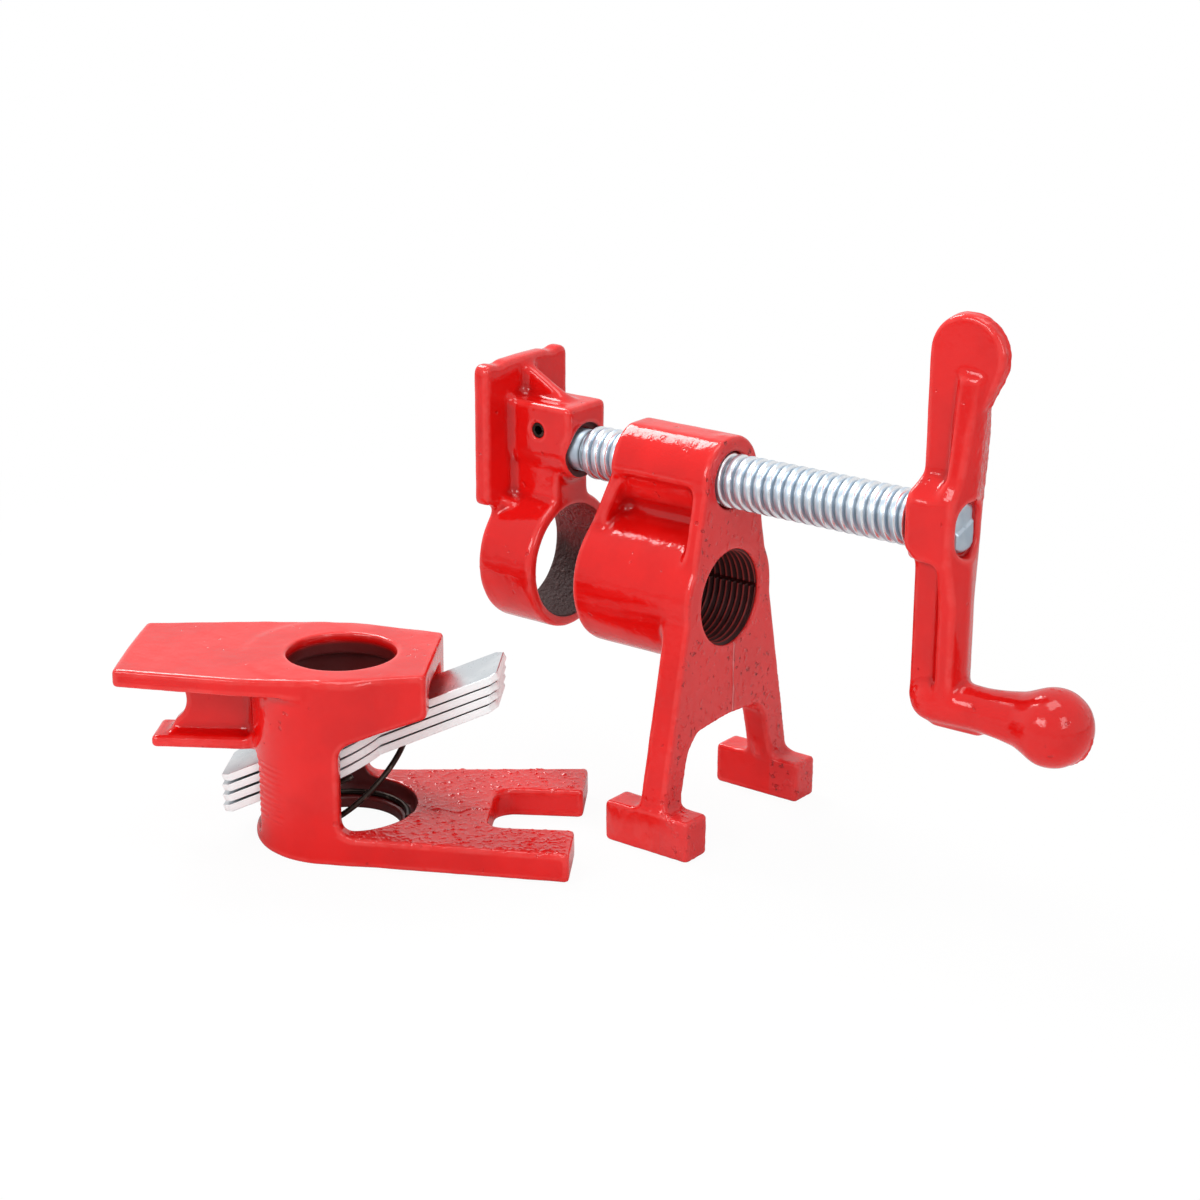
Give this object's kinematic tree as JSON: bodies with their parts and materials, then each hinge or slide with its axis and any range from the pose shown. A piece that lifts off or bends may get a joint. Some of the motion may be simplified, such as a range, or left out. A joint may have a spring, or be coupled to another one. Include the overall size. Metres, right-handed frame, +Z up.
{
  "type": "pipe clamp fixture",
  "caption": "Pipe clamp fixture: footed head with threaded pipe hole, crank screw and sliding jaw, and a loose tail stop with sprung clutch plates.",
  "frame": {"origin": "centre of the head's threaded pipe hole at the outer face of its plate", "axes": "+X along the pipe and screw axes towards the crank, +Y across away from the viewer, +Z up"},
  "size_m": [0.234, 0.1412, 0.1453],
  "materials": {
    "red_enamel": "glossy baked enamel over rough sand casting",
    "zinc_plate": "bright zinc plate",
    "dark_steel": "blackened spring steel"
  },
  "bodies": {
    "head": {"head_casting": "red_enamel"},
    "jaw": {"jaw_casting": "red_enamel", "retaining_pin": "dark_steel"},
    "spindle": {"screw_spindle": "zinc_plate", "crank_handle": "red_enamel"},
    "tail": {"tail_casting": "red_enamel", "clutch_spring": "dark_steel"},
    "clutch_1": {"clutch_plate_1": "zinc_plate"},
    "clutch_2": {"clutch_plate_2": "zinc_plate"},
    "clutch_3": {"clutch_plate_3": "zinc_plate"},
    "clutch_4": {"clutch_plate_4": "zinc_plate"}
  },
  "joints": [
    {"name": "jaw_slide", "type": "slide", "parent": "head", "child": "jaw", "axis": [-1, 0, 0], "range_m": [-0.012, 0.05]},
    {"name": "spindle_turn", "type": "hinge", "parent": "jaw", "child": "spindle", "pos_m": [0, 0, 0.0312], "axis": [-1, 0, 0], "range_deg": [-1440.1, 6000.1]},
    {"name": "tail_draw", "type": "slide", "parent": "head", "child": "tail", "axis": [0, -1, 0], "range_m": [0, 0.15]},
    {"name": "clutch_1_tilt", "type": "hinge", "parent": "tail", "child": "clutch_1", "pos_m": [-0.09262, -0.07806, -0.0414], "axis": [-0.5446, 0.8387, 0], "range_deg": [0, 23], "stiffness_Nm_per_rad": 0.12, "springref_deg": -14.32, "deforming": ["clutch_spring"]},
    {"name": "clutch_2_tilt", "type": "hinge", "parent": "tail", "child": "clutch_2", "pos_m": [-0.09262, -0.07806, -0.0442], "axis": [-0.5446, 0.8387, 0], "range_deg": [0, 23.25]},
    {"name": "clutch_3_tilt", "type": "hinge", "parent": "tail", "child": "clutch_3", "pos_m": [-0.09262, -0.07806, -0.047], "axis": [-0.5446, 0.8387, 0], "range_deg": [0, 23.5]},
    {"name": "clutch_4_tilt", "type": "hinge", "parent": "tail", "child": "clutch_4", "pos_m": [-0.09262, -0.07806, -0.0498], "axis": [-0.5446, 0.8387, 0], "range_deg": [0, 23.75]}
  ],
  "couplings": [
    {"joint": "spindle_turn", "follows": "jaw_slide", "rad_per_m": 2094.4},
    {"joint": "clutch_2_tilt", "follows": "clutch_1_tilt", "ratio": 1.0109},
    {"joint": "clutch_3_tilt", "follows": "clutch_1_tilt", "ratio": 1.0217},
    {"joint": "clutch_4_tilt", "follows": "clutch_1_tilt", "ratio": 1.0326}
  ]
}
